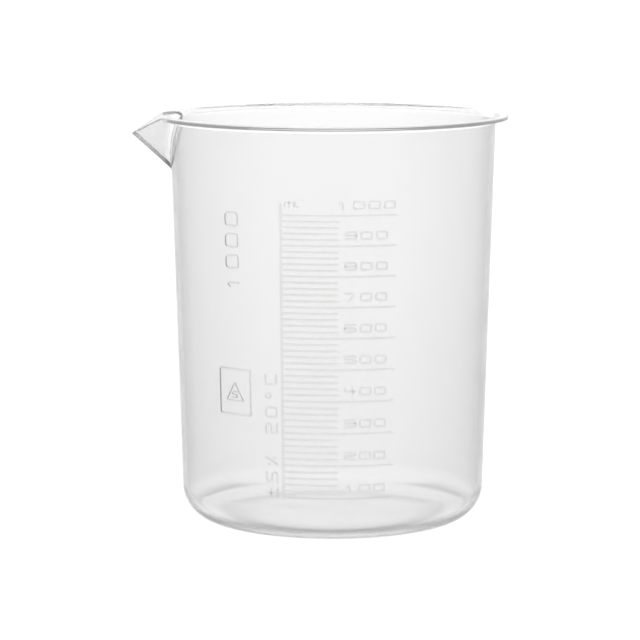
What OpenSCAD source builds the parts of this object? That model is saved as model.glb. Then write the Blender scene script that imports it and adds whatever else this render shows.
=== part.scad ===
// Low-form laboratory beaker with a moulded scale, 1000 mL, injection moulded in polypropylene.
// Origin at the centre of the base, on the surface that the beaker stands on. +Z is up, the spout
// points along -X and the scale faces -Y. Azimuths are degrees from -Y towards +X.

/* [Vessel] */
// Height from the base to the top of the rim
height = 145.2; // [120:0.1:170]
// Outer radius of the wall, carried straight down to the base
base_radius = 53.5; // [50:0.5:58]
// Draft of the wall, in degrees
draft = 1.8; // [0.6:0.1:3]
// Wall thickness
wall = 1.6; // [1.2:0.1:2.4]
// Floor thickness
floor_thickness = 2; // [1.4:0.1:3]
// Outer radius of the corner between wall and base
corner_radius = 12.5; // [6:0.5:16]

/* [Rim] */
// How far the rim stands out from the wall
rim_overhang = 4.5; // [3:0.1:6]
// Thickness of the rim
rim_thickness = 1.4; // [1:0.1:2]
// Rounding of the rim's outer edge
rim_edge = 0.5; // [0.2:0.05:0.5]
// Fillet between the wall and the rim's underside
rim_fillet = 1.5; // [0.5:0.1:2.5]
// Rounding from the inner wall onto the rim's top face
mouth_radius = 2.4; // [1:0.1:3]

/* [Spout] */
// Direction of the spout
spout_azimuth = -90; // [-120:1:-75]
// How far the spout's tip stands out past the rim
spout_reach = 8.9; // [6:0.1:12]
// How far the tip lies below the rim's top face
spout_drop = 6.6; // [3:0.1:8]
// How far below the rim's top face the keel leaves the wall
spout_depth = 19.7; // [14:0.1:24]
// Angle at the axis between the spout's middle and each of its rim corners
spout_half_angle = 14.2; // [10:0.1:18]
// Thickness of the spout's two faces
spout_wall = 1.5; // [1.2:0.1:2]

/* [Scale] */
// Content at the highest line, in mL
top_volume = 1000; // [600:100:1000]
// Content from one line to the next, in mL
minor_step = 20; // [10:10:50]
// How much more than its number each line holds, in mL
allowance = 14; // [0:1:30]
// Azimuth of the upright line that joins the scale
spine_azimuth = -19.7; // [-26:0.1:-12]
// Angle that the short lines run round the wall from the upright line
minor_angle = 19.9; // [17:0.1:21]
// Angle that the long lines run round the wall from the upright line
major_angle = 40.7; // [38:0.1:46]
// How far the upright line runs past the scale at its top
spine_top = 4; // [1:0.5:6]
// How far the upright line runs past the scale at its foot
spine_foot = 1; // [0:0.5:2]

/* [Marks] */
// How far the marks stand out from the wall
relief = 0.35; // [0.2:0.05:0.6]
// Width of a mark's line at the wall
line_width = 0.7; // [0.5:0.05:1]
// Draft of a line's flanks: how much narrower its top is than its foot
line_taper = 0.3; // [0:0.05:0.4]
// Height of the numerals
numeral_height = 3.1; // [2.4:0.1:3.6]
// Width of a numeral
numeral_width = 4.4; // [3.4:0.1:4.8]
// Azimuth from one numeral to the next
numeral_pitch = 5.5; // [5.2:0.1:6]
// Gap between a line and the foot of its numerals
numeral_gap = 1.7; // [1:0.1:3]
// Height of the letters of the unit
unit_height = 2.4; // [1.8:0.1:3]
// Gap between the upright line and the unit
unit_gap = 0.9; // [0.5:0.1:3]
// Height of the tolerance mark's characters
tolerance_height = 4.6; // [3:0.1:5]
// Gap between the upright line and the tolerance mark
tolerance_gap = 1.6; // [0.8:0.1:4]
// Height above the base of the tolerance mark's middle
tolerance_level = 38; // [36:1:60]
// Height of the capacity mark's characters
capacity_height = 6; // [4:0.1:8]
// Azimuth of the capacity mark
capacity_azimuth = -39.7; // [-48:0.1:-36]
// Height above the base of the capacity mark's middle
capacity_level = 101.5; // [90:0.5:108]
// Width of the resin mark's frame
resin_width = 14; // [12:0.5:18]
// Height of the resin mark's frame
resin_height = 16.5; // [12:0.5:20]
// Azimuth of the resin mark
resin_azimuth = -39.8; // [-48:0.1:-38]
// Height above the base of the resin mark's middle
resin_level = 52.1; // [40:0.1:64]

/* [Hidden] */
$fn = 180;
mL = 1000;
// Blend arcs cut this far past their tangents, so that they meet flat faces on a clean edge
eps = 0.01;
major_step = 100;
text_fn = 24;
// Proportions of the drawn characters: corner radius of a loop, width and gap of a line that reads
// upwards, all as shares of a character's size, and the resin mark's triangle as a share of its frame
loop_rounding = 0.3;
upright_width = 0.85;
upright_gap = 0.36;
triangle_share = 0.36;
// Stroke of the smallest characters
fine_line = line_width * 0.7;
plastic = [0.93, 0.94, 0.94, 0.75];
raised = [0.86, 0.88, 0.88];

// The wall's faces are cones: their radii at height z, measured square to the axis
wall_across = wall / cos(draft);
function outer_radius(z) = base_radius + z * tan(draft);
function inner_radius(z) = outer_radius(z) - wall_across;
rim_radius = outer_radius(height) + rim_overhang;

// A corner arc of radius r that touches a wall face and a level plane at height z
function corner_centre(wall_foot, z, r) = [wall_foot + (z + r) * tan(draft) - r / cos(draft), z + r];
function corner_top(centre, r) = centre + r * [cos(draft), -sin(draft)];
inner_corner = corner_radius - wall;
base_centre = corner_centre(base_radius, 0, corner_radius);
heel_centre = corner_centre(base_radius - wall_across, floor_thickness, inner_corner);
heel_top = corner_top(heel_centre, inner_corner);

// Volume below the top of the inner corner arc, then the height of any larger volume up the cone
heel_height = heel_top.y - floor_thickness;
heel_start = inner_corner - heel_height;
heel_arc = inner_corner ^ 2 * ((90 - draft) * PI / 180 - sin(draft) * cos(draft));
heel_cap = inner_corner ^ 2 * heel_height - (inner_corner ^ 3 - heel_start ^ 3) / 3;
heel_volume = PI * (heel_centre.x ^ 2 * heel_height + heel_centre.x * heel_arc + heel_cap);
function surface_radius(volume) =
    (heel_top.x ^ 3 + 3 * tan(draft) * (volume - heel_volume) / PI) ^ (1 / 3);
function level(content) =
    heel_top.y + (surface_radius((content + allowance) * mL) - heel_top.x) / tan(draft);

// The spout in its own plane: u outwards from the axis, z up
spout_tip = [rim_radius + spout_reach, height - spout_drop];
keel_foot = [outer_radius(height - spout_depth), height - spout_depth];
keel_run = spout_tip - keel_foot;
keel_slope = atan2(keel_run.y, keel_run.x);
lip_corner = [rim_radius * cos(spout_half_angle), height];
lip_slope = atan2(spout_drop, spout_tip.x - lip_corner.x);
corner_rise = (lip_corner.y - keel_foot.y) * cos(keel_slope) - (lip_corner.x - keel_foot.x) * sin(keel_slope);
vee_half_angle = atan2(rim_radius * sin(spout_half_angle), corner_rise);
vee_height = spout_depth + spout_reach;
keel_back = spout_depth;
keel_front = norm(keel_run) + spout_depth;

majors = [major_step : major_step : top_volume];
minors = [for (v = [major_step : minor_step : top_volume]) if (v % major_step != 0) v];
scale_foot = level(major_step) - spine_foot;
scale_head = level(top_volume) + spine_top;
minor_azimuth = spine_azimuth + minor_angle;
major_azimuth = spine_azimuth + major_angle;

NUMERALS = [for (v = majors) str("numeral_", v)];

// ---- The vessel ----

// The area inside the outer wall, with its corner arc at the base
module vessel_outline() {
    polygon([
        [0, 0], [base_centre.x, 0], base_centre, corner_top(base_centre, corner_radius),
        [outer_radius(height), height], [0, height]]);
    translate(base_centre) circle(corner_radius);
}

// The flange's section, with a rounded outer edge and a fillet below
module rim_outline() {
    under = height - rim_thickness;
    foot = outer_radius(under) - wall_across / 2;
    translate([foot, under]) square([rim_radius - rim_edge - foot, rim_thickness]);
    translate([foot, under + rim_edge])
        square([rim_radius - foot, max(rim_thickness - 2 * rim_edge, eps)]);
    for (z = [under + rim_edge, height - rim_edge])
        translate([rim_radius - rim_edge, z]) circle(rim_edge);
    centre = [outer_radius(under - rim_fillet) + rim_fillet / cos(draft), under - rim_fillet];
    touch = centre + rim_fillet * [-cos(draft), sin(draft)];
    difference() {
        polygon([[foot, touch.y], touch, centre, [centre.x, under + eps], [foot, under + eps]]);
        translate(centre) circle(rim_fillet + eps);
    }
}

// What is open above the floor and inside the wall, with the rounding onto the rim's top face.
// Inset moves the whole outline that far into the material.
module cavity_outline(inset) {
    centre = [inner_radius(height - mouth_radius) + mouth_radius / cos(draft), height - mouth_radius];
    bend = mouth_radius - inset;
    touch = centre + bend * [-cos(draft), sin(draft)];
    above = height + wall;
    wall_foot = base_radius - wall_across + inset / cos(draft);
    heel = inner_corner + inset;
    heel_middle = corner_centre(wall_foot, floor_thickness - inset, heel);
    polygon([
        [0, floor_thickness - inset], [heel_middle.x, floor_thickness - inset], heel_middle,
        corner_top(heel_middle, heel), [wall_foot + above * tan(draft), above], [0, above]]);
    translate(heel_middle) circle(heel);
    difference() {
        polygon([touch - [wall, 0], touch, centre, [centre.x, above], [touch.x - wall, above]]);
        translate(centre) circle(bend + eps);
    }
}

// The wall, floor and rim, turned about the axis
module body_of_revolution() {
    rotate_extrude() difference() {
        union() {
            vessel_outline();
            rim_outline();
        }
        cavity_outline(0);
    }
}

// A trough of V section along the keel, raised square to the keel by lift
module vee(lift) {
    half_width = vee_height * tan(vee_half_angle);
    translate([keel_foot.x, 0, keel_foot.y])
        rotate([0, -keel_slope, 0])
        rotate([90, 0, 90])
        translate([0, lift, -keel_back])
        linear_extrude(keel_back + keel_front)
        polygon([[0, 0], [half_width, vee_height], [-half_width, vee_height]]);
}

// Everything below the rim's top face and below the two lips of the spout
module below_lips() {
    reach = spout_tip.x + vee_height;
    intersection() {
        translate([0, -reach, 0]) cube([reach, 2 * reach, height]);
        translate([lip_corner.x, 0, lip_corner.y])
            rotate([0, lip_slope, 0])
            translate([-2 * reach, -reach, -2 * reach])
            cube([4 * reach, 2 * reach, 2 * reach]);
    }
}

// The two faces of the spout, which start halfway through the wall
module spout() {
    difference() {
        intersection() {
            vee(0);
            below_lips();
        }
        rotate_extrude() cavity_outline(wall / 2);
    }
}

module vessel() {
    color(plastic) difference() {
        union() {
            body_of_revolution();
            rotate([0, 0, spout_azimuth - 90]) spout();
        }
        rotate([0, 0, spout_azimuth - 90]) vee(spout_wall / sin(vee_half_angle));
    }
}

// ---- Raised marks on the outer wall ----

// A band of the wall's skin, as thick as the marks are high
module skin(low, high) {
    rotate_extrude() polygon([
        [outer_radius(low), low], [outer_radius(low) + relief, low],
        [outer_radius(high) + relief, high], [outer_radius(high), high]]);
}

// Carries a flat shape out to the wall: its x runs along the wall, its y runs up
module on_wall(azimuth, z) {
    depth = wall + relief + rim_overhang;
    rotate([0, 0, azimuth])
        translate([0, 0, z])
        rotate([90, 0, 0])
        translate([0, 0, outer_radius(z) - depth])
        linear_extrude(2 * depth)
        children();
}

// A level line with drafted flanks, from one azimuth to another
module graduation(z, from, to) {
    foot = line_width / 2;
    crest = (line_width - line_taper) / 2;
    rotate([0, 0, from - 90]) rotate_extrude(angle = to - from) polygon([
        [outer_radius(z - foot), z - foot], [outer_radius(z) + relief, z - crest],
        [outer_radius(z) + relief, z + crest], [outer_radius(z + foot), z + foot]]);
}

// The azimuth that a length takes up along the wall at height z
function azimuth_of(length, z) = length / outer_radius(z) * 180 / PI;

module scale_spine() {
    spine_angle = azimuth_of(line_width, scale_foot);
    color(raised) rotate([0, 0, spine_azimuth - spine_angle - 90])
        rotate_extrude(angle = spine_angle) polygon([
            [outer_radius(scale_foot), scale_foot], [outer_radius(scale_foot) + relief, scale_foot],
            [outer_radius(scale_head) + relief, scale_head], [outer_radius(scale_head), scale_head]]);
}

module minor_graduations() {
    color(raised) for (v = minors) graduation(level(v), spine_azimuth, minor_azimuth);
}

module major_graduations() {
    color(raised) for (v = majors) graduation(level(v), spine_azimuth, major_azimuth);
}

// ---- Characters, drawn centred on the origin ----

module rounded_box(w, h, r) {
    square([w - 2 * r, h], center = true);
    square([w, h - 2 * r], center = true);
    for (x = [-1, 1], y = [-1, 1])
        translate([x * (w / 2 - r), y * (h / 2 - r)]) circle(r, $fn = text_fn);
}

module loop_box(w, h, s) {
    r = min(w, h) * loop_rounding;
    difference() {
        rounded_box(w, h, r);
        rounded_box(w - 2 * s, h - 2 * s, max(r - s, s / 4));
    }
}

// A level or upright stroke, which runs half its width past both points
module stroke(from, to, s) {
    run = to - from;
    translate((from + to) / 2)
        square([abs(run.x) + s, abs(run.y) + s], center = true);
}

// A slanting stroke with level ends
module slant(from, to, s) {
    run = to - from;
    half = s / 2 * norm(run) / abs(run.y);
    polygon([from - [half, 0], from + [half, 0], to + [half, 0], to - [half, 0]]);
}

// The gaps that turn a square 8 into another digit: [side, upper or lower half]
GAPS = [
    [], [], [[-1, 1], [1, -1]], [[-1, 1], [-1, -1]], [],
    [[1, 1], [-1, -1]], [[1, 1]], [], [], [[-1, -1]]];

module looped_digit(d, w, h, s) {
    opening = h / 2 - 2 * s;
    difference() {
        union() {
            loop_box(w, h, s);
            if (d != 0) square([w - s, s], center = true);
        }
        for (gap = GAPS[d])
            translate([gap.x * (w / 2 - s / 2), gap.y * (s / 2 + opening / 2 + s / 4)])
                square([s + 4 * eps, opening], center = true);
    }
}

module digit(d, w, h, s) {
    x = (w - s) / 2;
    y = (h - s) / 2;
    if (d == 1) {
        stroke([0, -y], [0, y], s);
        slant([0, h / 2], [-h / 3, h / 4], s);
    } else if (d == 4) {
        stroke([-x, y], [-x, 0], s);
        stroke([-x, 0], [x, 0], s);
        stroke([x / 2, y], [x / 2, -y], s);
    } else if (d == 7) {
        stroke([-x, y], [x, y], s);
        slant([x, y], [-x / 3, -h / 2], s);
    } else {
        looped_digit(d, w, h, s);
    }
}

module letter(c, w, h, s) {
    x = (w - s) / 2;
    y = (h - s) / 2;
    if (c == "m") {
        arch = h * 3 / 4;
        opening = (w - 3 * s) / 2;
        translate([0, (arch - h) / 2]) difference() {
            rounded_box(w, arch, h / 5);
            for (side = [-1, 1])
                translate([side * (opening + s) / 2, -s]) square([opening, arch], center = true);
        }
    } else if (c == "L") {
        stroke([-x, y], [-x, -y], s);
        stroke([-x, -y], [x, -y], s);
    } else if (c == "C") {
        difference() {
            loop_box(w, h, s);
            translate([w / 2, 0]) square([2 * s + eps, h - 3 * s], center = true);
        }
    } else if (c == "o") {
        ring = h / 4;
        translate([0, ring]) difference() {
            circle(ring, $fn = text_fn);
            circle(ring / 2, $fn = text_fn);
        }
    } else if (c == "%") {
        lean = x * 0.7;
        slant([-lean, -h / 2], [lean, h / 2], s);
        for (side = [-1, 1]) translate([side * lean, -side * y / 2]) circle(s * 0.9, $fn = text_fn);
    } else if (c == "+") {
        stroke([-x, y / 4], [x, y / 4], s);
        stroke([0, y], [0, -y / 2], s);
        stroke([-x, -y], [x, -y], s);
    }
}

// One character of text: a digit, or one of the letters above
module character(c, w, h, s) {
    code = ord(c) - ord("0");
    if (code >= 0 && code <= 9) digit(code, w, h, s);
    else letter(c, w, h, s);
}

// ---- Numerals and marks ----

// The numerals sit above their line. All but the longest end one numeral short of the line's end.
module numeral(value) {
    digits = str(value);
    middle = level(value) + line_width / 2 + numeral_gap + numeral_height / 2;
    longest = len(digits) == len(str(top_volume));
    last = major_azimuth - numeral_pitch * (longest ? 0.5 : 1);
    color(raised) intersection() {
        skin(middle - numeral_height, middle + numeral_height);
        for (i = [0 : len(digits) - 1])
            on_wall(last - (len(digits) - 1 - i) * numeral_pitch, middle)
                character(digits[i], numeral_width, numeral_height, line_width);
    }
}

module unit_mark() {
    z = scale_head;
    m_width = unit_height * 4 / 3;
    L_width = unit_height * 2 / 3;
    m_middle = unit_gap + m_width / 2;
    color(raised) intersection() {
        skin(z - unit_height, z + unit_height);
        union() {
            on_wall(spine_azimuth + azimuth_of(m_middle, z), z)
                letter("m", m_width, unit_height, fine_line);
            on_wall(spine_azimuth + azimuth_of(m_middle + m_width, z), z)
                letter("L", L_width, unit_height, fine_line);
        }
    }
}

// A line of characters that reads upwards, centred on an azimuth and a height
module upright_line(characters, azimuth, level, h) {
    w = h * upright_width;
    pitch = w + h * upright_gap;
    count = len(characters);
    half = count * pitch / 2;
    color(raised) intersection() {
        skin(level - half, level + half);
        for (i = [0 : count - 1]) if (characters[i] != " ")
            on_wall(azimuth, level + (i - (count - 1) / 2) * pitch)
                rotate(90) character(characters[i], w, h, line_width);
    }
}

module tolerance_mark() {
    middle = line_width + tolerance_gap + tolerance_height / 2;
    azimuth = spine_azimuth - azimuth_of(middle, tolerance_level);
    upright_line("+5% 20oC", azimuth, tolerance_level, tolerance_height);
}

module capacity_mark() {
    upright_line("1000", capacity_azimuth, capacity_level, capacity_height);
}

module resin_frame() {
    color(raised) intersection() {
        skin(resin_level - resin_height, resin_level + resin_height);
        on_wall(resin_azimuth, resin_level) difference() {
            square([resin_width, resin_height], center = true);
            square([resin_width - 2 * line_width, resin_height - 2 * line_width], center = true);
        }
    }
}

// The plain triangle and number that mark polypropylene
module resin_code() {
    radius = min(resin_width, resin_height) * triangle_share;
    numeral = radius / 2;
    color(raised) intersection() {
        skin(resin_level - resin_height, resin_level + resin_height);
        on_wall(resin_azimuth, resin_level) {
            translate([0, -radius / 5]) {
                rotate(90) difference() {
                    circle(radius, $fn = 3);
                    circle(radius - 2 * line_width, $fn = 3);
                }
                looped_digit(5, numeral, numeral, fine_line);
            }
        }
    }
}

vessel();
scale_spine();
minor_graduations();
major_graduations();
for (v = majors)
    numeral(v);
unit_mark();
tolerance_mark();
capacity_mark();
resin_frame();
resin_code();
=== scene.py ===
"""A translucent moulded laboratory beaker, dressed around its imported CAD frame.

The vessel is one smooth closed surface. Its section in a plane through the axis is traced at every azimuth
and joined round, so that wall, flange and spout run into each other with the small blends of a moulding.
Lengths are in metres. The spout points along -X, the scale faces -Y and +Z is up.
"""

import math

import bpy
import numpy as np
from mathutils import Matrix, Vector


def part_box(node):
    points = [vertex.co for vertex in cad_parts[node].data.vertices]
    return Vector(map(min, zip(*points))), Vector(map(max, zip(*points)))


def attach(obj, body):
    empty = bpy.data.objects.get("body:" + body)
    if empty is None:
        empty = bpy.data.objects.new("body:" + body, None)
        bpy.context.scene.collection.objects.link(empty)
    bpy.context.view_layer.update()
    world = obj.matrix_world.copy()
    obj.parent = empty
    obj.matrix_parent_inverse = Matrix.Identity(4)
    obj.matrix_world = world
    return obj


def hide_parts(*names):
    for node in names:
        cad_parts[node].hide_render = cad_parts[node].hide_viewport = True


MM = 0.001

# The moulding's own sizes, as the CAD model has them
DRAFT = math.radians(1.8)
WALL = 1.6 * MM
FLOOR = 2.0 * MM
CORNER_RADIUS = 12.5 * MM
BASE_RADIUS = 53.5 * MM
FLANGE_THICKNESS = 1.4 * MM
FLANGE_EDGE = 0.5 * MM
FLANGE_FILLET = 1.5 * MM
MOUTH_RADIUS = 2.4 * MM
SPOUT_DROP = 6.6 * MM
SPOUT_DEPTH = 19.7 * MM
SPOUT_HALF_ANGLE = math.radians(14.2)
SPOUT_WALL = 1.5 * MM

# Blends on the spout
KEEL_BLEND = 0.3 * MM
TROUGH_BLEND = 0.7 * MM
SPOUT_FILLET = 0.5 * MM
RIDGE_BLEND = 0.7 * MM
LIP_BLEND = 0.9 * MM
# What the rounded edges take off the spout's tip
TIP_ROUNDING = 0.4 * MM

# The vessel's grid: columns round the axis, and rows along each section
SPOUT_SECTOR = math.radians(24)
SPOUT_COLUMNS = 60
WALL_COLUMNS = 216
TRACE_STEP = 0.12 * MM
# How far to each side the surface is probed for its slope
PROBE = TRACE_STEP / 20
# How often each step is pulled back onto the surface, and the slowest growth of distance that it trusts
TRACE_PULLS = 3
LEAST_GAIN = 0.5
OUTER_EDGE_TURN = math.radians(20)
INNER_EDGE_TURN = math.radians(112)
EDGE_CROWDING = 1.35
TRACE_MARGIN = 6.0 * MM
UNDER_ROWS = 84
EDGE_ROWS = 22
INNER_ROWS = 72
WALL_ROWS = 14
CORNER_ROWS = 16
FLOOR_ROWS = 5

# The raised marks: rounded ridges, a little lower than in the CAD model, with a softer and wider spine
RELIEF = 0.3 * MM
SPINE_RELIEF = 0.13 * MM
SPINE_WIDTH = 1.0 * MM
LINE_WIDTH = 0.7 * MM
FINE_LINE = 0.49 * MM
NUMERAL_WIDTH = 4.4 * MM
NUMERAL_PITCH = math.radians(5.5)
LOOP_ROUNDING = 0.3
UPRIGHT_WIDTH = 0.85
UPRIGHT_GAP = 0.36
# How far a ridge's foot goes into the wall
SUNK = 0.04 * MM
PATH_STEP = 1.0 * MM
# Runs shorter than this are left out of a path
SHORTEST_RUN = 1e-7
CORNER_STEPS = 5
CAP_STEPS = 4
# How far round a ridge's end cap goes, as a share of a quarter turn, so that its tip keeps some width
CAP_REACH = 0.97
CROWN_COLUMNS = 9


# ---- The vessel's surface ----


def round_max(a, b, radius):
    """The larger of two distances, with the edge where they meet rounded."""
    near_both = (a > -radius) & (b > -radius)
    arc = np.hypot(np.maximum(a + radius, 0), np.maximum(b + radius, 0)) - radius
    return np.where(near_both, arc, np.maximum(a, b))


def round_min(a, b, radius):
    return -round_max(-a, -b, radius)


class Moulding:
    """The upper part of the vessel as distances from its faces: negative inside the material."""

    def __init__(self, low, high):
        self.height = high.z
        self.rim_radius = high.y
        tip_out = -low.x + TIP_ROUNDING
        tip_height = self.height - SPOUT_DROP
        self.foot_height = self.height - SPOUT_DEPTH
        self.foot_out = BASE_RADIUS + self.foot_height * math.tan(DRAFT)
        self.keel_slope = math.atan2(tip_height - self.foot_height, tip_out - self.foot_out)
        self.lip_start = self.rim_radius * math.cos(SPOUT_HALF_ANGLE)
        self.lip_slope = math.atan2(SPOUT_DROP, tip_out - self.lip_start)
        corner_rise = self.above_keel(self.lip_start, self.height)
        self.vee_angle = math.atan2(self.rim_radius * math.sin(SPOUT_HALF_ANGLE), corner_rise)

    def above_keel(self, out, z):
        rise = (z - self.foot_height) * math.cos(self.keel_slope)
        return rise - (out - self.foot_out) * math.sin(self.keel_slope)

    def wall_face(self, radius, z, inset):
        return (radius - BASE_RADIUS - z * math.tan(DRAFT)) * math.cos(DRAFT) + inset

    def vee_face(self, out, side, z, inset, blend):
        """The two faces of the spout, cut off well inside the wall."""
        face = np.hypot(side, blend) * math.cos(self.vee_angle) + inset
        face = face - self.above_keel(out, z) * math.sin(self.vee_angle)
        return np.maximum(face, self.rim_radius / 2 - out)

    def distance(self, azimuth, radius, z):
        """Azimuth is measured from the spout."""
        out, side = radius * np.cos(azimuth), radius * np.sin(azimuth)
        under_flange = self.height - FLANGE_THICKNESS - z
        flange = round_max(radius - self.rim_radius, under_flange, FLANGE_EDGE)
        outer = round_min(self.wall_face(radius, z, 0), flange, FLANGE_FILLET)
        outer = round_min(outer, self.vee_face(out, side, z, 0, KEEL_BLEND), SPOUT_FILLET)
        lips = (z - self.height) * math.cos(self.lip_slope)
        lips = lips + (out - self.lip_start) * math.sin(self.lip_slope)
        lid = round_max(z - self.height, lips, LIP_BLEND)
        upper = round_max(lid, -self.wall_face(radius, z, WALL), MOUTH_RADIUS)
        trough = self.vee_face(out, side, z, SPOUT_WALL, TROUGH_BLEND)
        upper = round_max(upper, -trough, RIDGE_BLEND)
        return round_max(outer, upper, FLANGE_EDGE)

    def slope(self, azimuth, radius, z):
        """The section's unit normal in its own plane, and how fast the distance grows along it."""
        across = self.distance(azimuth, radius + PROBE, z) - self.distance(azimuth, radius - PROBE, z)
        up = self.distance(azimuth, radius, z + PROBE) - self.distance(azimuth, radius, z - PROBE)
        size = np.hypot(across, up)
        return across / size, up / size, size / (2 * PROBE)

    def normals(self, azimuth, radius, z):
        """Outward normals in three dimensions, as out, side and up."""
        out, side = radius * np.cos(azimuth), radius * np.sin(azimuth)

        def at(move):
            new_out, new_side = out + move[0], side + move[1]
            return self.distance(np.arctan2(new_side, new_out), np.hypot(new_side, new_out), z + move[2])

        found = np.stack([at(step) - at(-step) for step in np.eye(3) * PROBE], -1)
        return found / np.linalg.norm(found, axis=-1, keepdims=True)


def traced_sections(shape, azimuths, low):
    """Follows each section from the outer wall at height low, over the rim, to the inner wall there."""
    radius = np.full_like(azimuths, BASE_RADIUS + low * math.tan(DRAFT))
    z = np.full_like(azimuths, low)
    path, turns = [], []
    turn = np.full_like(azimuths, -DRAFT)
    while True:
        n_out, n_up, _ = shape.slope(azimuths, radius, z)
        here = np.arctan2(n_up, n_out)
        turn = turn + (here - turn + math.pi) % (2 * math.pi) - math.pi
        path.append((radius, z))
        turns.append(turn)
        if (z < low - TRACE_STEP).all():
            break
        radius = radius - n_up * TRACE_STEP
        z = z + n_out * TRACE_STEP
        for _ in range(TRACE_PULLS):
            n_out, n_up, gain = shape.slope(azimuths, radius, z)
            gap = shape.distance(azimuths, radius, z) / np.maximum(gain, LEAST_GAIN)
            radius = radius - n_out * gap
            z = z - n_up * gap
    return np.array(path).transpose(2, 0, 1), np.array(turns).T


def along(path, places):
    """Points of one section at places measured in steps."""
    steps = np.arange(len(path))
    return np.stack([np.interp(places, steps, path[:, 0]), np.interp(places, steps, path[:, 1])], -1)


def spread(count, power):
    """Shares from 0 to 1, closer together near 0."""
    return (np.arange(1, count + 1) / count) ** power


def crossing(values, level, start=0):
    """Where a section's values first pass a level, measured in steps."""
    after = start + int(np.argmax(values[start:] > level))
    return after - 1 + (level - values[after - 1]) / (values[after] - values[after - 1])


def upper_rows(shape, azimuths, low):
    """Every section as the same number of points, which crowd towards the rim's two edges."""
    path, turns = traced_sections(shape, azimuths, low)
    sections = []
    for points, turn in zip(path, turns):
        outer_edge = crossing(turn, OUTER_EDGE_TURN)
        inner_edge = crossing(turn, INNER_EDGE_TURN, math.ceil(outer_edge))
        end = crossing(-points[:, 1], -low, math.ceil(inner_edge))
        under = outer_edge * (1 - spread(UNDER_ROWS, EDGE_CROWDING)[::-1])
        even = np.linspace(0, 1, EDGE_ROWS, endpoint=False)
        eased = (1 - np.cos(even * math.pi)) / 2
        over = outer_edge + (inner_edge - outer_edge) * (even + eased) / 2
        inside = inner_edge + (end - inner_edge) * np.append(0, spread(INNER_ROWS, EDGE_CROWDING))
        sections.append(along(points, np.concatenate([under, over, inside])))
    return np.array(sections)


def lower_rows(low, inset, floor):
    """The plain turned part below: from the axis out along the floor, round the corner and up to low."""
    radius = CORNER_RADIUS - inset
    foot = BASE_RADIUS - inset / math.cos(DRAFT)
    centre_height = floor + radius
    centre_out = foot + centre_height * math.tan(DRAFT) - radius / math.cos(DRAFT)
    flat = [(centre_out * share, floor) for share in np.linspace(0, 1, FLOOR_ROWS, endpoint=False)[1:]]
    turns = np.linspace(-math.pi / 2, -DRAFT, CORNER_ROWS)
    corner = [(centre_out + radius * math.cos(t), centre_height + radius * math.sin(t)) for t in turns]
    heights = np.linspace(corner[-1][1], low, WALL_ROWS, endpoint=False)[1:]
    wall = [(foot + z * math.tan(DRAFT), z) for z in heights]
    normals = [(0.0, -1.0)] * len(flat) + [(math.cos(t), math.sin(t)) for t in turns]
    normals += [(math.cos(DRAFT), -math.sin(DRAFT))] * len(wall)
    return np.array(flat + corner + wall), np.array(normals)


def column_azimuths():
    """From the spout right round, with close columns at the spout."""
    near = np.linspace(0, SPOUT_SECTOR, SPOUT_COLUMNS, endpoint=False)
    far = np.linspace(SPOUT_SECTOR, math.pi, WALL_COLUMNS, endpoint=False)
    return np.concatenate([near, far, [math.pi]])


def smooth_mesh(name, points, faces, normals):
    mesh = bpy.data.meshes.new(name)
    mesh.from_pydata(points.tolist(), [], faces)
    mesh.polygons.foreach_set("use_smooth", [True] * len(mesh.polygons))
    mesh.normals_split_custom_set_from_vertices(normals.tolist())
    mesh.update()
    piece = bpy.data.objects.new(name, mesh)
    bpy.context.scene.collection.objects.link(piece)
    return piece


def vessel_piece(name, low, high):
    shape = Moulding(low, high)
    start = shape.foot_height - TRACE_MARGIN
    half = column_azimuths()
    upper = upper_rows(shape, half, start)
    outer, outer_normals = lower_rows(start, 0, 0)
    inner, inner_normals = lower_rows(start, WALL, FLOOR)

    def whole(rows):
        """The sections on one side of the spout, and their mirror images on the other."""
        return np.concatenate([rows, rows[-2:0:-1]])

    azimuths = np.concatenate([half, -half[-2:0:-1]])
    upper = whole(upper)
    columns = len(azimuths)
    sections = np.concatenate(
        [np.tile(outer, (columns, 1, 1)), upper, np.tile(inner[::-1], (columns, 1, 1))], axis=1
    )
    azimuth = azimuths[:, None]
    rings = [
        np.stack([n[:, 0] * np.cos(azimuth), n[:, 0] * np.sin(azimuth), n[:, 1] + 0 * azimuth], -1)
        for n in (outer_normals, -inner_normals[::-1])
    ]
    across = shape.normals(azimuth + 0 * upper[..., 0], upper[..., 0], upper[..., 1])
    normals = np.concatenate([rings[0], across, rings[1]], axis=1)
    # The spout lies along -X, so out and side both turn half a circle
    points = np.stack(
        [-sections[..., 0] * np.cos(azimuth), -sections[..., 0] * np.sin(azimuth), sections[..., 1]], -1
    )
    normals = normals * (-1, -1, 1)
    rows = points.shape[1]
    grid = np.arange(columns * rows).reshape(columns, rows)
    turned = np.roll(grid, -1, axis=0)
    quads = np.stack([grid[:, :-1], turned[:, :-1], turned[:, 1:], grid[:, 1:]], -1).reshape(-1, 4).tolist()
    foot, floor = columns * rows, columns * rows + 1
    fans = [(foot, b, a) for a, b in zip(grid[:, 0].tolist(), turned[:, 0].tolist())]
    fans += [(a, b, floor) for a, b in zip(grid[:, -1].tolist(), turned[:, -1].tolist())]
    points = np.concatenate([points.reshape(-1, 3), [(0, 0, 0), (0, 0, FLOOR)]])
    normals = np.concatenate([normals.reshape(-1, 3), [(0, 0, -1), (0, 0, 1)]])
    return smooth_mesh(name, points, quads + fans, normals)


# ---- The raised marks ----


def cad_points(node):
    """The corners of a CAD node, as rows of x, y and z."""
    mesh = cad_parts[node].data
    corners = np.empty(len(mesh.vertices) * 3)
    mesh.vertices.foreach_get("co", corners)
    return corners.reshape(-1, 3)


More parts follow.
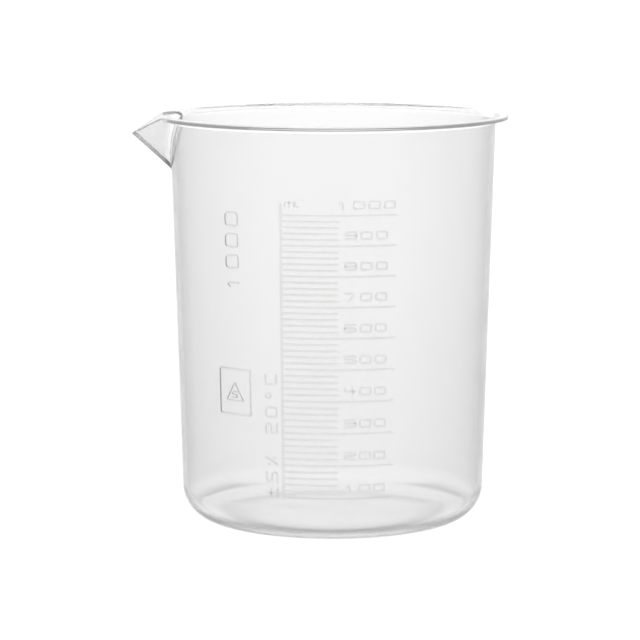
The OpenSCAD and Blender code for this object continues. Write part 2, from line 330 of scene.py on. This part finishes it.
def cad_span(node):
    """A node's lowest and highest azimuth from -Y, and its lowest and highest level."""
    x, y, z = cad_points(node).T
    azimuth = np.arctan2(x, -y)
    return azimuth.min(), azimuth.max(), z.min(), z.max()


def cad_levels(node):
    """The middle height of each level line of a node."""
    heights = np.sort(cad_points(node)[:, 2])
    groups = np.split(heights, np.nonzero(np.diff(heights) > LINE_WIDTH)[0] + 1)
    return [(group[0] + group[-1]) / 2 for group in groups]


def wall_radius(z):
    return BASE_RADIUS + z * math.tan(DRAFT)


def rounded_path(points, radius):
    """Points no more than PATH_STEP apart along straight runs, with an arc of that radius at each corner."""
    points = np.array(points, float)
    closed = len(points) > 2 and np.allclose(points[0], points[-1])
    if closed:
        middle = (points[0] + points[1]) / 2
        points = np.concatenate([[middle], points[1:], [middle]])
    track = [points[0]]
    for before, corner, after in zip(points, points[1:], points[2:]):
        back, ahead = before - corner, after - corner
        far_back, far_ahead = np.linalg.norm(back), np.linalg.norm(ahead)
        back, ahead = back / far_back, ahead / far_ahead
        half = math.acos(np.clip(back @ ahead, -1, 1)) / 2
        reach = min(radius / math.tan(half), far_back / 2, far_ahead / 2)
        bend = reach * math.tan(half)
        centre = corner + (back + ahead) / np.linalg.norm(back + ahead) * bend / math.sin(half)
        start, end = corner + back * reach - centre, corner + ahead * reach - centre
        turn = math.atan2(start[0] * end[1] - start[1] * end[0], start @ end)
        for share in np.linspace(0, 1, CORNER_STEPS):
            c, s = math.cos(turn * share), math.sin(turn * share)
            track.append(centre + (c * start[0] - s * start[1], s * start[0] + c * start[1]))
    track.append(points[-1])
    even = [track[0]]
    for place in track[1:]:
        run = np.linalg.norm(place - even[-1])
        if run > SHORTEST_RUN:
            count = math.ceil(run / PATH_STEP)
            even += [even[-1] + (place - even[-1]) * (k + 1) / count for k in range(count)]
    return np.array(even[:-1] if closed else even), closed


def capped(path, ahead, width):
    """An open path carried on into a round cap at both ends, its directions, and its share of full size."""
    turns = np.linspace(0, math.pi / 2, CAP_STEPS + 1)[1:] * CAP_REACH
    shrink = np.cos(turns)
    reach = np.sin(turns)[:, None] * width / 2
    head, tail = path[0] - ahead[0] * reach, path[-1] + ahead[-1] * reach
    first, last = np.tile(ahead[0], (CAP_STEPS, 1)), np.tile(ahead[-1], (CAP_STEPS, 1))
    size = np.concatenate([shrink[::-1], np.ones(len(path)), shrink])
    return np.concatenate([head[::-1], path, tail]), np.concatenate([first, ahead, last]), size


def ridge(path, closed, width, relief):
    """A rounded ridge along a path, as rings of offset along the wall, height and lift from the wall."""
    if closed:
        ahead = np.roll(path, -1, 0) - np.roll(path, 1, 0)
    else:
        ahead = np.gradient(path, axis=0)
    ahead /= np.linalg.norm(ahead, axis=1)[:, None]
    size = np.ones(len(path))
    if not closed:
        path, ahead, size = capped(path, ahead, width)
    across = np.stack([-ahead[:, 1], ahead[:, 0]], -1)
    place = np.linspace(1, -1, CROWN_COLUMNS)
    lift = relief * np.cos(place * math.pi / 2) ** 2
    place = np.concatenate([[1], place, [-1]])
    lift = np.concatenate([[-SUNK], lift, [-SUNK]])
    spots = path[:, None] + across[:, None] * place[:, None] * size[:, None, None] * width / 2
    lifts = np.where(lift > 0, lift * size[:, None], lift)
    return np.concatenate([spots, lifts[..., None]], -1)


def relief_piece(node, strokes, relief=RELIEF):
    """Ridges on the wall. A stroke is its origin's azimuth and height, a path, its bend and its width."""
    points, faces, smooth = [], [], []
    for azimuth, height, path, bend, width in strokes:
        track, closed = rounded_path(path, bend)
        rings = ridge(track, closed, width, relief)
        round_wall = wall_radius(height)
        turn = azimuth + rings[..., 0] / round_wall
        z = height + rings[..., 1] - rings[..., 2] * math.sin(DRAFT)
        radius = wall_radius(height + rings[..., 1]) + rings[..., 2] * math.cos(DRAFT)
        first = len(points)
        count, columns = turn.shape
        points += np.stack([radius * np.sin(turn), -radius * np.cos(turn), z], -1).reshape(-1, 3).tolist()
        last = count if closed else count - 1
        for i in range(last):
            for j in range(columns):
                a, b = first + i * columns, first + (i + 1) % count * columns
                k = (j + 1) % columns
                faces.append((a + j, a + k, b + k, b + j))
                smooth.append(0 < j < columns - 2)
        if not closed:
            faces.append([first + j for j in range(columns)][::-1])
            faces.append([first + (count - 1) * columns + j for j in range(columns)])
            smooth += [False, False]
    mesh = bpy.data.meshes.new(node)
    mesh.from_pydata(points, [], faces)
    mesh.polygons.foreach_set("use_smooth", smooth)
    mesh.update()
    piece = bpy.data.objects.new("relief_" + node, mesh)
    bpy.context.scene.collection.objects.link(piece)
    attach(piece, "root")
    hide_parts(node)
    return piece


# The middle lines of the characters, as shares of half their width and height. The + has a minus under it,
# and the o is the ring of a degree.
GLYPHS = {
    "0": [[(-1, -1), (1, -1), (1, 1), (-1, 1), (-1, -1)]],
    "1": [[(-0.6, 0.4), (0, 1), (0, -1)]],
    "2": [[(-1, 1), (1, 1), (1, 0), (-1, 0), (-1, -1), (1, -1)]],
    "3": [[(-1, 1), (1, 1), (1, -1), (-1, -1)], [(-1, 0), (1, 0)]],
    "4": [[(-1, 1), (-1, 0), (1, 0)], [(0.5, 1), (0.5, -1)]],
    "5": [[(1, 1), (-1, 1), (-1, 0), (1, 0), (1, -1), (-1, -1)]],
    "6": [[(1, 1), (-1, 1), (-1, -1), (1, -1), (1, 0), (-1, 0)]],
    "7": [[(-1, 1), (1, 1), (-0.3, -1)]],
    "8": [[(-1, -1), (1, -1), (1, 1), (-1, 1), (-1, -1)], [(-1, 0), (1, 0)]],
    "9": [[(-1, -1), (1, -1), (1, 1), (-1, 1), (-1, 0), (1, 0)]],
    "m": [[(-1, -1), (-1, 0.5), (1, 0.5), (1, -1)], [(0, 0.5), (0, -1)]],
    "L": [[(-1, 1), (-1, -1), (1, -1)]],
    "C": [[(1, 1), (-1, 1), (-1, -1), (1, -1)]],
    "o": [[(-0.45, 0.1), (0.45, 0.1), (0.45, 1), (-0.45, 1), (-0.45, 0.1)]],
    "%": [[(-0.7, -1), (0.7, 1)], [(-0.7, 0.45), (-0.7, 0.55)], [(0.7, -0.45), (0.7, -0.55)]],
    "+": [[(-1, 0.25), (1, 0.25)], [(0, 1), (0, -0.5)], [(-1, -1), (1, -1)]],
}


def character(letter, azimuth, height, size, width, quarter_turns=0):
    """The strokes of one character, centred on an azimuth and a height. Size is its width and height."""
    half = (np.array(size) - width) / 2
    turn = ((1, 0), (0, 1)) if quarter_turns == 0 else ((0, 1), (-1, 0))
    bend = min(size) * LOOP_ROUNDING - width / 2
    paths = [np.array(line) * half @ np.array(turn) for line in GLYPHS[letter]]
    return [(azimuth, height, path, bend, width) for path in paths]


def spine():
    west, east, bottom, top = cad_span("scale_spine")
    path = [(0, bottom + LINE_WIDTH / 2 - top), (0, -LINE_WIDTH / 2)]
    stroke = ((west + east) / 2, top, path, 0, SPINE_WIDTH)
    return relief_piece("scale_spine", [stroke], SPINE_RELIEF)


def graduations(node):
    """Level lines from the edge of the spine to their own end."""
    west, east, _, _ = cad_span(node)
    strokes = []
    for height in cad_levels(node):
        run = (east - west) * wall_radius(height)
        path = [(SPINE_WIDTH / 2, 0), (run - LINE_WIDTH / 2, 0)]
        strokes.append((west, height, path, 0, LINE_WIDTH))
    return relief_piece(node, strokes)


def numeral(value):
    node = "numeral_" + value
    _, east, bottom, top = cad_span(node)
    height = (bottom + top) / 2
    last = east - NUMERAL_WIDTH / 2 / wall_radius(height)
    strokes = []
    for place, digit in enumerate(reversed(value)):
        azimuth = last - place * NUMERAL_PITCH
        strokes += character(digit, azimuth, height, (NUMERAL_WIDTH, top - bottom), LINE_WIDTH)
    return relief_piece(node, strokes)


def upright_line(node, characters):
    """Characters that read upwards, placed from the top of the last one."""
    west, east, _, top = cad_span(node)
    tall = (east - west) * wall_radius(top)
    wide = tall * UPRIGHT_WIDTH
    strokes = []
    for place, letter in enumerate(reversed(characters)):
        if letter != " ":
            height = top - wide / 2 - place * (wide + tall * UPRIGHT_GAP)
            strokes += character(letter, (west + east) / 2, height, (wide, tall), LINE_WIDTH, 1)
    return relief_piece(node, strokes)


def unit():
    west, east, bottom, top = cad_span("unit_mark")
    height, tall = (bottom + top) / 2, top - bottom
    third = (east - west) / 3
    wide = third * wall_radius(height)
    strokes = character("m", west + third, height, (2 * wide, tall), FINE_LINE)
    strokes += character("L", east - third / 2, height, (wide, tall), FINE_LINE)
    return relief_piece("unit_mark", strokes)


def resin_frame():
    west, east, bottom, top = cad_span("resin_frame")
    height = (bottom + top) / 2
    x, y = ((east - west) * wall_radius(height) - LINE_WIDTH) / 2, (top - bottom - LINE_WIDTH) / 2
    path = [(-x, -y), (x, -y), (x, y), (-x, y), (-x, -y)]
    return relief_piece("resin_frame", [((west + east) / 2, height, path, LINE_WIDTH / 2, LINE_WIDTH)])


def resin_code():
    """A triangle that is 1.5 times as tall as the radius of its corners, with a 5 in it."""
    west, east, bottom, top = cad_span("resin_code")
    radius = (top - bottom) / 1.5
    height = bottom + radius / 2
    azimuth = (west + east) / 2
    inner = radius - LINE_WIDTH
    turns = np.arange(4) * math.tau / 3 + math.pi / 2
    corners = [(inner * math.cos(turn), inner * math.sin(turn)) for turn in turns]
    strokes = [(azimuth, height, corners, LINE_WIDTH / 2, LINE_WIDTH)]
    strokes += character("5", azimuth, height, (radius / 2, radius / 2), FINE_LINE)
    return relief_piece("resin_code", strokes)


# ---- Materials ----

IOR = 1.49
# The tone that the plastic's volume leaves in the light, and its density per metre
VOLUME_TONE = 0.5
VOLUME_DENSITY = 30
# The lowest and highest roughness and the height of the slow waves, in the wall and in the marks
WALL_ROUGHNESS = (0.04, 0.09)
WALL_WAVE = 0.02 * MM
MARK_ROUGHNESS = (0.05, 0.12)
MARK_WAVE = 0.005 * MM
MARK_TONE = 0.96
MARK_CLARITY = 0.94
# How fine each pattern is, in features to the metre, and how strongly the waves and the grain show
GLOSS_SCALE = 70
GLOSS_DETAIL = 3
# The noise at which the roughness is lowest, and highest
GLOSS_SPAN = (0.3, 0.7)
WAVE_SCALE = 28
WAVE_DETAIL = 1
WAVE_STRENGTH = 0.5
GRAIN_SCALE = 900
GRAIN_STRENGTH = 0.2
GRAIN_DEPTH = 0.002 * MM
# How much light passes instead of scattering: in the wall, and in the flange and spout, which look milkier
WALL_CLARITY = 0.92
RIM_CLARITY = 0.75
RIM_START = 58.8 * MM
RIM_FULL = 60.5 * MM
# At this blend, Layer Weight's facing is 1 less the cosine of the angle from the normal to the viewer
FACING_BLEND = 0.5
# The painted shade of an upright wall, from seen face on to seen edge on
EDGE_SHADE_STOPS = (
    (0.0, 0.965), (0.1, 0.96), (0.17, 0.94), (0.28, 0.915), (0.43, 0.89), (0.56, 0.83), (0.68, 0.73),
    (0.78, 0.54), (0.86, 0.36), (1.0, 0.45),
)
# The painted shade on the thick corner's outer side by height, as shares of CORNER_RADIUS, and where that
# side is
CORNER_SHADE_STOPS = (
    (0.0, 1.0), (0.13, 1.0), (0.2, 0.78), (0.27, 0.42), (0.35, 0.33), (0.42, 0.5), (0.5, 0.8), (0.6, 1.0),
)
CORNER_START = 47.6 * MM
CORNER_FULL = 48.6 * MM
# The even tint of all that lies further in than that side
INSIDE_TONE = 0.985
# How far the corner turns from facing the viewer before its painted shade shows, and is full
SLANT_START = 0.29
SLANT_FULL = 0.39
# Where the spout starts along X, and the painted shade on its faces, on its thick keel by distance from its
# middle plane, and on its lips, which lean at least that far
SPOUT_START = -57.6 * MM
SPOUT_FULL = -58.2 * MM
SPOUT_SHADE_TONE = 0.94
KEEL_SHADE_TONE = 0.87
KEEL_NARROW = 0.4 * MM
KEEL_WIDE = 1.0 * MM
LIP_SHADE_TONE = 0.74
LIP_LEAN = 0.75
# How far a surface leans before it loses the painted edge shade of an upright wall
LEAN_START = 0.1
LEAN_FULL = 0.5


def new_material(name):
    material = bpy.data.materials.new(name)
    material.use_nodes = True
    nodes, links = material.node_tree.nodes, material.node_tree.links
    return material, nodes, links, nodes["Principled BSDF"]


def grey(tone):
    return (tone, tone, tone, 1)


def ramp(nodes, links, source, stops):
    """A grey that follows stops of place and tone along a source between 0 and 1."""
    node = nodes.new("ShaderNodeValToRGB")
    elements = node.color_ramp.elements
    while len(elements) < len(stops):
        elements.new(0.5)
    for element, (place, tone) in zip(elements, stops):
        element.position = place
        element.color = grey(tone)
    links.new(source, node.inputs["Fac"])
    return node.outputs["Color"]


def span(nodes, links, source, start, end, low, high):
    """A number that goes smoothly from low to high as the source goes from start to end."""
    node = nodes.new("ShaderNodeMapRange")
    node.interpolation_type = "SMOOTHSTEP"
    for name, value in (("From Min", start), ("From Max", end), ("To Min", low), ("To Max", high)):
        node.inputs[name].default_value = value
    links.new(source, node.inputs["Value"])
    return node.outputs["Result"]


def blend(nodes, links, share, first, second, kind="MIX"):
    """Two colours mixed by a share. All three are sockets or plain values."""
    node = nodes.new("ShaderNodeMix")
    node.data_type = "RGBA"
    node.blend_type = kind
    for socket, value in ((node.inputs["Factor"], share), (node.inputs[6], first), (node.inputs[7], second)):
        if isinstance(value, bpy.types.NodeSocket):
            links.new(value, socket)
        else:
            socket.default_value = value
    return node.outputs[2]


def multiplied(nodes, links, first, second):
    return blend(nodes, links, 1.0, first, second, "MULTIPLY")


def place(nodes, links):
    """Where a point is in the object: its vector, its distance from the axis, and its X, Y and Z."""
    vector = nodes.new("ShaderNodeTexCoord").outputs["Object"]
    level = nodes.new("ShaderNodeVectorMath")
    level.operation = "MULTIPLY"
    level.inputs[1].default_value = (1, 1, 0)
    links.new(vector, level.inputs[0])
    reach = nodes.new("ShaderNodeVectorMath")
    reach.operation = "LENGTH"
    links.new(level.outputs["Vector"], reach.inputs[0])
    parts = nodes.new("ShaderNodeSeparateXYZ")
    links.new(vector, parts.inputs[0])
    return vector, reach.outputs["Value"], parts.outputs


def moulded_surface(nodes, links, plastic, vector, roughness, wave):
    """Gloss that varies over a few millimetres, the slow waves of a moulded wall and a fine waxy grain."""
    patches = nodes.new("ShaderNodeTexNoise")
    patches.inputs["Scale"].default_value = GLOSS_SCALE
    patches.inputs["Detail"].default_value = GLOSS_DETAIL
    links.new(vector, patches.inputs["Vector"])
    gloss = span(nodes, links, patches.outputs["Fac"], *GLOSS_SPAN, *roughness)
    links.new(gloss, plastic.inputs["Roughness"])
    waves = nodes.new("ShaderNodeTexNoise")
    waves.inputs["Scale"].default_value = WAVE_SCALE
    waves.inputs["Detail"].default_value = WAVE_DETAIL
    links.new(vector, waves.inputs["Vector"])
    slow = nodes.new("ShaderNodeBump")
    slow.inputs["Strength"].default_value = WAVE_STRENGTH
    slow.inputs["Distance"].default_value = wave
    links.new(waves.outputs["Fac"], slow.inputs["Height"])
    grain = nodes.new("ShaderNodeTexNoise")
    grain.inputs["Scale"].default_value = GRAIN_SCALE
    links.new(vector, grain.inputs["Vector"])
    fine = nodes.new("ShaderNodeBump")
    fine.inputs["Strength"].default_value = GRAIN_STRENGTH
    fine.inputs["Distance"].default_value = GRAIN_DEPTH
    links.new(grain.outputs["Fac"], fine.inputs["Height"])
    links.new(slow.outputs["Normal"], fine.inputs["Normal"])
    links.new(fine.outputs["Normal"], plastic.inputs["Normal"])


def absolute(nodes, links, source):
    node = nodes.new("ShaderNodeMath")
    node.operation = "ABSOLUTE"
    links.new(source, node.inputs[0])
    return node.outputs[0]


def wall_tint(nodes, links, facing, lean):
    """Painted shade on an upright wall, which deepens towards its edges as the viewer sees them."""
    upright = span(nodes, links, lean, LEAN_START, LEAN_FULL, 1, 0)
    return blend(nodes, links, upright, grey(1), ramp(nodes, links, facing, EDGE_SHADE_STOPS))


def spout_tint(nodes, links, parts, lean):
    """Painted shade on the spout: darker along its keel and on its lips."""
    off_plane = absolute(nodes, links, parts["Y"])
    keel = span(nodes, links, off_plane, KEEL_NARROW, KEEL_WIDE, KEEL_SHADE_TONE, SPOUT_SHADE_TONE)
    lips = span(nodes, links, lean, LIP_LEAN, 1, 1, LIP_SHADE_TONE)
    in_spout = span(nodes, links, parts["X"], SPOUT_START, SPOUT_FULL, 0, 1)
    return blend(nodes, links, in_spout, grey(1), multiplied(nodes, links, keel, lips))


def corner_tint(nodes, links, facing, reach, parts):
    """A painted dark band of shade on the thick corner's outer side, shown only where that turns away from
    the viewer.
    """
    height = span(nodes, links, parts["Z"], 0, CORNER_RADIUS, 0, 1)
    height.node.interpolation_type = "LINEAR"
    outside = span(nodes, links, reach, CORNER_START, CORNER_FULL, 0, 1)
    slanting = span(nodes, links, facing, SLANT_START, SLANT_FULL, 0, 1)
    band = blend(nodes, links, slanting, grey(1), ramp(nodes, links, height, CORNER_SHADE_STOPS))
    return blend(nodes, links, outside, grey(INSIDE_TONE), band)


def polypropylene():
    """Natural polypropylene: clear face on, with painted shade greying it edge on, and milkier in the flange
    and the spout.
    """
    material, nodes, links, plastic = new_material("polypropylene")
    vector, reach, parts = place(nodes, links)
    weight = nodes.new("ShaderNodeLayerWeight")
    weight.inputs["Blend"].default_value = FACING_BLEND
    facing = weight.outputs["Facing"]
    normal = nodes.new("ShaderNodeSeparateXYZ")
    links.new(nodes.new("ShaderNodeNewGeometry").outputs["Normal"], normal.inputs[0])
    lean = absolute(nodes, links, normal.outputs["Z"])
    # Painted shade in the base colour: the walls grey towards their edges, the spout darkens along its keel
    # and lips, and the corner carries a dark band
    painted_shade = wall_tint(nodes, links, facing, lean)
    painted_shade = multiplied(nodes, links, painted_shade, spout_tint(nodes, links, parts, lean))
    painted_shade = multiplied(nodes, links, painted_shade, corner_tint(nodes, links, facing, reach, parts))
    links.new(painted_shade, plastic.inputs["Base Color"])
    clarity = span(nodes, links, reach, RIM_START, RIM_FULL, WALL_CLARITY, RIM_CLARITY)
    links.new(clarity, plastic.inputs["Transmission Weight"])
    plastic.inputs["IOR"].default_value = IOR
    moulded_surface(nodes, links, plastic, vector, WALL_ROUGHNESS, WALL_WAVE)
    absorb = nodes.new("ShaderNodeVolumeAbsorption")
    absorb.inputs["Color"].default_value = grey(VOLUME_TONE)
    absorb.inputs["Density"].default_value = VOLUME_DENSITY
    links.new(absorb.outputs[0], nodes["Material Output"].inputs["Volume"])
    return material


def raised_polypropylene():
    """The same plastic in the marks, which are too thin for its absorption to show."""
    material, nodes, links, plastic = new_material("raised_marks")
    vector = place(nodes, links)[0]
    plastic.inputs["Base Color"].default_value = grey(MARK_TONE)
    plastic.inputs["Transmission Weight"].default_value = MARK_CLARITY
    plastic.inputs["IOR"].default_value = IOR
    moulded_surface(nodes, links, plastic, vector, MARK_ROUGHNESS, MARK_WAVE)
    return material


# ---- Camera, light and floor ----

# The studio's brightness by the sine of the height above the horizon
STUDIO_STRENGTH = 1.2
STUDIO_STOPS = ((0.0, 0.95), (0.1, 0.95), (0.3, 0.9), (0.75, 0.98), (1.0, 1.0))
TABLE_HALF = 12
# How far it lies under the base, so that the two don't touch
TABLE_GAP = 0.1 * MM
TABLE_TONE = 0.05
TABLE_ROUGHNESS = 0.9
TABLE_STRENGTH = 1.055
# The table's brightness by the distance from the axis in metres, all over and round the beaker's corner
TABLE_STOPS = ((0.0, 0.95), (0.15, 0.95), (0.8, 1.0))
SHADE_STOPS = (
    (0.0, 1.0), (0.018, 1.0), (0.028, 0.95), (0.034, 0.9), (0.0366, 0.45), (0.0403, 0.45), (0.0424, 1.0),
)
# The shade is deeper on the scale's side than behind
SHADE_FRONT = -30 * MM
SHADE_BACK = 30 * MM
SHADE_BEHIND = 0.05

CAMERA_DISTANCE = 1191.5 * MM
CAMERA_HEIGHT = 232.0 * MM
CAMERA_AZIMUTH = math.radians(-1.56)
CAMERA_PITCH = math.radians(7.681)
CAMERA_LENS = 188.5
CAMERA_SENSOR = 36
# How far the camera sees, in metres
CAMERA_SIGHT = 20
# How far left of the vessel's axis the camera looks
CAMERA_AIM = 4.54 * MM


def camera():
    data = bpy.data.cameras.new("camera")
    data.lens = CAMERA_LENS
    data.sensor_width = CAMERA_SENSOR
    data.clip_end = CAMERA_SIGHT
    eye = bpy.data.objects.new("camera", data)
    away = Vector((math.sin(CAMERA_AZIMUTH), -math.cos(CAMERA_AZIMUTH), 0))
    right = Vector((math.cos(CAMERA_AZIMUTH), math.sin(CAMERA_AZIMUTH), 0))
    eye.location = away * CAMERA_DISTANCE + Vector((0, 0, CAMERA_HEIGHT)) - right * CAMERA_AIM
    eye.rotation_euler = (math.pi / 2 - CAMERA_PITCH, 0, CAMERA_AZIMUTH)
    bpy.context.scene.collection.objects.link(eye)
    bpy.context.scene.camera = eye


def surround():
    """A soft white studio, a little dimmer above the horizon than at it and overhead."""
    world = bpy.data.worlds.new("studio")
    bpy.context.scene.world = world
    world.use_nodes = True
    nodes, links = world.node_tree.nodes, world.node_tree.links
    parts = nodes.new("ShaderNodeSeparateXYZ")
    links.new(nodes.new("ShaderNodeTexCoord").outputs["Generated"], parts.inputs[0])
    links.new(ramp(nodes, links, parts.outputs["Z"], STUDIO_STOPS), nodes["Background"].inputs["Color"])
    nodes["Background"].inputs["Strength"].default_value = STUDIO_STRENGTH


def light_table():
    """A plain white table that glows softly, with a ring of shade under the beaker's corner."""
    data = bpy.data.meshes.new("light_table")
    corners = [(x * TABLE_HALF, y * TABLE_HALF, -TABLE_GAP) for x, y in ((-1, -1), (1, -1), (1, 1), (-1, 1))]
    data.from_pydata(corners, [], [(0, 1, 2, 3)])
    table = bpy.data.objects.new("light_table", data)
    bpy.context.scene.collection.objects.link(table)
    material, nodes, links, paint = new_material("light_table")
    _, reach, parts = place(nodes, links)
    glow = ramp(nodes, links, reach, TABLE_STOPS)
    in_front = span(nodes, links, parts["Y"], SHADE_BACK, SHADE_FRONT, SHADE_BEHIND, 1)
    shade = blend(nodes, links, in_front, grey(1), ramp(nodes, links, reach, SHADE_STOPS))
    links.new(multiplied(nodes, links, glow, shade), paint.inputs["Emission Color"])
    paint.inputs["Emission Strength"].default_value = TABLE_STRENGTH
    paint.inputs["Base Color"].default_value = grey(TABLE_TONE)
    paint.inputs["Roughness"].default_value = TABLE_ROUGHNESS
    paint.inputs["Specular IOR Level"].default_value = 0.0
    data.materials.append(material)


# ---- The scene ----

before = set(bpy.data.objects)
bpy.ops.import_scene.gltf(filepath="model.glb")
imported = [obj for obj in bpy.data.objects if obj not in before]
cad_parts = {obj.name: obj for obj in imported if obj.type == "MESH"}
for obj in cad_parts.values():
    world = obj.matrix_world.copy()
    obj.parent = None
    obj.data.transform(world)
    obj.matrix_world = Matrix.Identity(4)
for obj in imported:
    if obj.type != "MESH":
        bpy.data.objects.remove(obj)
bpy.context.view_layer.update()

camera()
surround()
light_table()
bpy.context.scene.view_settings.view_transform = "Standard"

vessel = vessel_piece("beaker_vessel", *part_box("vessel"))
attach(vessel, "root")
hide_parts("vessel")
vessel.data.materials.append(polypropylene())

marks = [spine(), graduations("minor_graduations"), graduations("major_graduations")]
marks += [numeral(str(value)) for value in range(100, 1001, 100)]
marks += [unit(), upright_line("tolerance_mark", "+5% 20oC"), upright_line("capacity_mark", "1000")]
marks += [resin_frame(), resin_code()]
raised = raised_polypropylene()
for piece in marks:
    piece.data.materials.append(raised)
